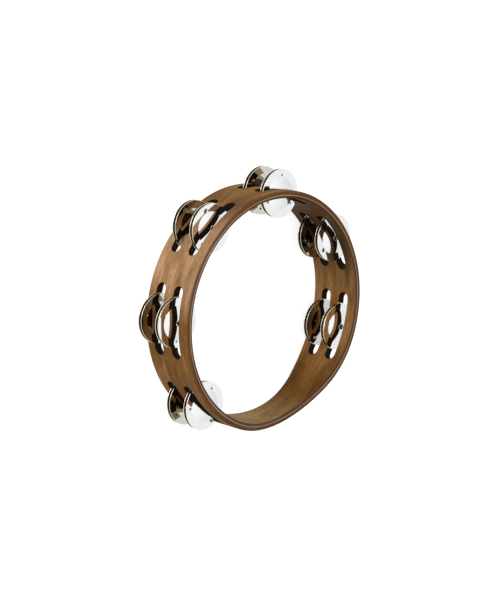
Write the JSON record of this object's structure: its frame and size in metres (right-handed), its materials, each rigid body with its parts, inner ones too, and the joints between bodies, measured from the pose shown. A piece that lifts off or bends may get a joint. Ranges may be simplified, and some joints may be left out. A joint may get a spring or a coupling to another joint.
{
  "type": "headless tambourine",
  "caption": "Headless tambourine: a laminated wooden hoop with a scooped hand grip and two rows of slots holding pairs of domed metal jingles on nails.",
  "frame": {"origin": "on the lower rim's plane, under the middle of the outline with the jingles included, 4.6 mm from the hoop's axis towards the back", "axes": "+Z along the hoop's axis, up from the rim the tambourine lies on; -Y towards the hand grip; +X to the right seen from the grip"},
  "size_m": [0.2842, 0.2632, 0.0616],
  "materials": {
    "dark_wood": "satin walnut stain",
    "light_wood": "satin",
    "nail_steel": "bright",
    "jingle_metal": "polished"
  },
  "bodies": {
    "hoop": {"inner_ply": "dark_wood", "core_ply": "light_wood", "outer_ply": "dark_wood", "nail_1": "nail_steel", "nail_2": "nail_steel", "nail_3": "nail_steel", "nail_4": "nail_steel", "nail_5": "nail_steel", "nail_6": "nail_steel"},
    "lower_row_1_bottom_jingle": {"lower_row_1_bottom_jingle": "jingle_metal"},
    "lower_row_1_top_jingle": {"lower_row_1_top_jingle": "jingle_metal"},
    "lower_row_2_bottom_jingle": {"lower_row_2_bottom_jingle": "jingle_metal"},
    "lower_row_2_top_jingle": {"lower_row_2_top_jingle": "jingle_metal"},
    "lower_row_3_bottom_jingle": {"lower_row_3_bottom_jingle": "jingle_metal"},
    "lower_row_3_top_jingle": {"lower_row_3_top_jingle": "jingle_metal"},
    "lower_row_4_bottom_jingle": {"lower_row_4_bottom_jingle": "jingle_metal"},
    "lower_row_4_top_jingle": {"lower_row_4_top_jingle": "jingle_metal"},
    "lower_row_5_bottom_jingle": {"lower_row_5_bottom_jingle": "jingle_metal"},
    "lower_row_5_top_jingle": {"lower_row_5_top_jingle": "jingle_metal"},
    "lower_row_6_bottom_jingle": {"lower_row_6_bottom_jingle": "jingle_metal"},
    "lower_row_6_top_jingle": {"lower_row_6_top_jingle": "jingle_metal"},
    "upper_row_1_bottom_jingle": {"upper_row_1_bottom_jingle": "jingle_metal"},
    "upper_row_1_top_jingle": {"upper_row_1_top_jingle": "jingle_metal"},
    "upper_row_2_bottom_jingle": {"upper_row_2_bottom_jingle": "jingle_metal"},
    "upper_row_2_top_jingle": {"upper_row_2_top_jingle": "jingle_metal"},
    "upper_row_3_bottom_jingle": {"upper_row_3_bottom_jingle": "jingle_metal"},
    "upper_row_3_top_jingle": {"upper_row_3_top_jingle": "jingle_metal"},
    "upper_row_4_bottom_jingle": {"upper_row_4_bottom_jingle": "jingle_metal"},
    "upper_row_4_top_jingle": {"upper_row_4_top_jingle": "jingle_metal"},
    "upper_row_5_bottom_jingle": {"upper_row_5_bottom_jingle": "jingle_metal"},
    "upper_row_5_top_jingle": {"upper_row_5_top_jingle": "jingle_metal"},
    "upper_row_6_bottom_jingle": {"upper_row_6_bottom_jingle": "jingle_metal"},
    "upper_row_6_top_jingle": {"upper_row_6_top_jingle": "jingle_metal"}
  },
  "joints": [
    {"name": "lower_row_1_spin", "type": "hinge", "parent": "hoop", "child": "lower_row_1_bottom_jingle", "pos_m": [0.10284, -0.06953, 0.012], "axis": [0, 0, 1], "continuous": true},
    {"name": "lower_row_1_clap", "type": "slide", "parent": "lower_row_1_bottom_jingle", "child": "lower_row_1_top_jingle", "axis": [0, 0, 1], "range_m": [-0.0029, 0.00536]},
    {"name": "lower_row_2_spin", "type": "hinge", "parent": "hoop", "child": "lower_row_2_bottom_jingle", "pos_m": [0.1165, 0.03019, 0.012], "axis": [0, 0, 1], "continuous": true},
    {"name": "lower_row_2_clap", "type": "slide", "parent": "lower_row_2_bottom_jingle", "child": "lower_row_2_top_jingle", "axis": [0, 0, 1], "range_m": [-0.0029, 0.00536]},
    {"name": "lower_row_3_spin", "type": "hinge", "parent": "hoop", "child": "lower_row_3_bottom_jingle", "pos_m": [0.05033, 0.10605, 0.012], "axis": [0, 0, 1], "continuous": true},
    {"name": "lower_row_3_clap", "type": "slide", "parent": "lower_row_3_bottom_jingle", "child": "lower_row_3_top_jingle", "axis": [0, 0, 1], "range_m": [-0.0029, 0.00536]},
    {"name": "lower_row_4_spin", "type": "hinge", "parent": "hoop", "child": "lower_row_4_bottom_jingle", "pos_m": [-0.05033, 0.10605, 0.012], "axis": [0, 0, 1], "continuous": true},
    {"name": "lower_row_4_clap", "type": "slide", "parent": "lower_row_4_bottom_jingle", "child": "lower_row_4_top_jingle", "axis": [0, 0, 1], "range_m": [-0.0029, 0.00536]},
    {"name": "lower_row_5_spin", "type": "hinge", "parent": "hoop", "child": "lower_row_5_bottom_jingle", "pos_m": [-0.1165, 0.03019, 0.012], "axis": [0, 0, 1], "continuous": true},
    {"name": "lower_row_5_clap", "type": "slide", "parent": "lower_row_5_bottom_jingle", "child": "lower_row_5_top_jingle", "axis": [0, 0, 1], "range_m": [-0.0029, 0.00536]},
    {"name": "lower_row_6_spin", "type": "hinge", "parent": "hoop", "child": "lower_row_6_bottom_jingle", "pos_m": [-0.10284, -0.06953, 0.012], "axis": [0, 0, 1], "continuous": true},
    {"name": "lower_row_6_clap", "type": "slide", "parent": "lower_row_6_bottom_jingle", "child": "lower_row_6_top_jingle", "axis": [0, 0, 1], "range_m": [-0.0029, 0.00536]},
    {"name": "upper_row_1_spin", "type": "hinge", "parent": "hoop", "child": "upper_row_1_bottom_jingle", "pos_m": [0.10284, -0.06953, 0.0374], "axis": [0, 0, 1], "continuous": true},
    {"name": "upper_row_1_clap", "type": "slide", "parent": "upper_row_1_bottom_jingle", "child": "upper_row_1_top_jingle", "axis": [0, 0, 1], "range_m": [-0.0029, 0.00536]},
    {"name": "upper_row_2_spin", "type": "hinge", "parent": "hoop", "child": "upper_row_2_bottom_jingle", "pos_m": [0.1165, 0.03019, 0.0374], "axis": [0, 0, 1], "continuous": true},
    {"name": "upper_row_2_clap", "type": "slide", "parent": "upper_row_2_bottom_jingle", "child": "upper_row_2_top_jingle", "axis": [0, 0, 1], "range_m": [-0.0029, 0.00536]},
    {"name": "upper_row_3_spin", "type": "hinge", "parent": "hoop", "child": "upper_row_3_bottom_jingle", "pos_m": [0.05033, 0.10605, 0.0374], "axis": [0, 0, 1], "continuous": true},
    {"name": "upper_row_3_clap", "type": "slide", "parent": "upper_row_3_bottom_jingle", "child": "upper_row_3_top_jingle", "axis": [0, 0, 1], "range_m": [-0.0029, 0.00536]},
    {"name": "upper_row_4_spin", "type": "hinge", "parent": "hoop", "child": "upper_row_4_bottom_jingle", "pos_m": [-0.05033, 0.10605, 0.0374], "axis": [0, 0, 1], "continuous": true},
    {"name": "upper_row_4_clap", "type": "slide", "parent": "upper_row_4_bottom_jingle", "child": "upper_row_4_top_jingle", "axis": [0, 0, 1], "range_m": [-0.0029, 0.00536]},
    {"name": "upper_row_5_spin", "type": "hinge", "parent": "hoop", "child": "upper_row_5_bottom_jingle", "pos_m": [-0.1165, 0.03019, 0.0374], "axis": [0, 0, 1], "continuous": true},
    {"name": "upper_row_5_clap", "type": "slide", "parent": "upper_row_5_bottom_jingle", "child": "upper_row_5_top_jingle", "axis": [0, 0, 1], "range_m": [-0.0029, 0.00536]},
    {"name": "upper_row_6_spin", "type": "hinge", "parent": "hoop", "child": "upper_row_6_bottom_jingle", "pos_m": [-0.10284, -0.06953, 0.0374], "axis": [0, 0, 1], "continuous": true},
    {"name": "upper_row_6_clap", "type": "slide", "parent": "upper_row_6_bottom_jingle", "child": "upper_row_6_top_jingle", "axis": [0, 0, 1], "range_m": [-0.0029, 0.00536]}
  ]
}
